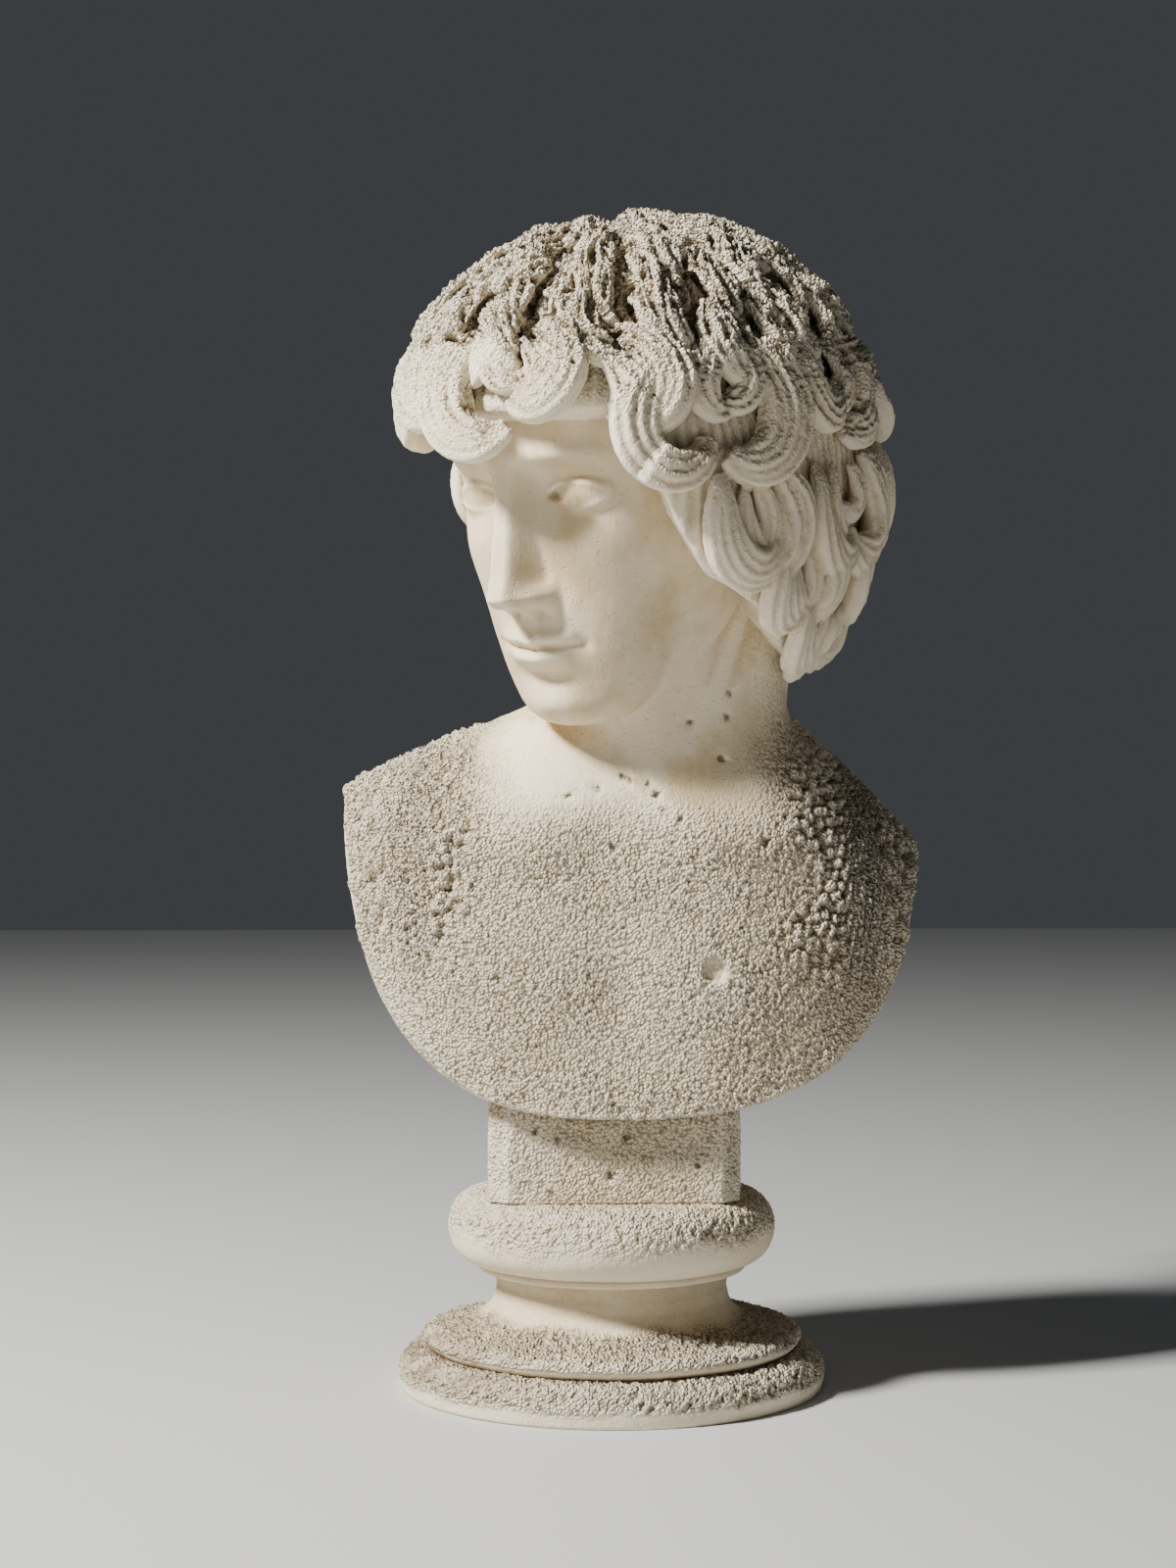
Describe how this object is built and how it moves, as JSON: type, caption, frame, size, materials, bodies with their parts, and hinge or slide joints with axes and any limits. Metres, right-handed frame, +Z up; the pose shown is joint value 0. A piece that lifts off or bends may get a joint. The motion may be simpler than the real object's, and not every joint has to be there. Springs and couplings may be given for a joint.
{
  "type": "plaster bust",
  "caption": "Weathered cast plaster bust of a curly-haired youth with bowed, turned head, on a chamfered foot block and a round turned socle.",
  "frame": {"origin": "centre of the socle's underside", "axes": "+Z up, the chest faces -Y, +X is the viewer's right and the sitter's left"},
  "size_m": [0.3079, 0.274, 0.6144],
  "materials": {
    "bust_plaster": "matt weathered plaster, grainy on the crown, shoulders and chest",
    "socle_plaster": "matt weathered plaster, grainy on its upper faces"
  },
  "bodies": {
    "root": {"bust": "bust_plaster", "socle": "socle_plaster"}
  },
  "joints": []
}
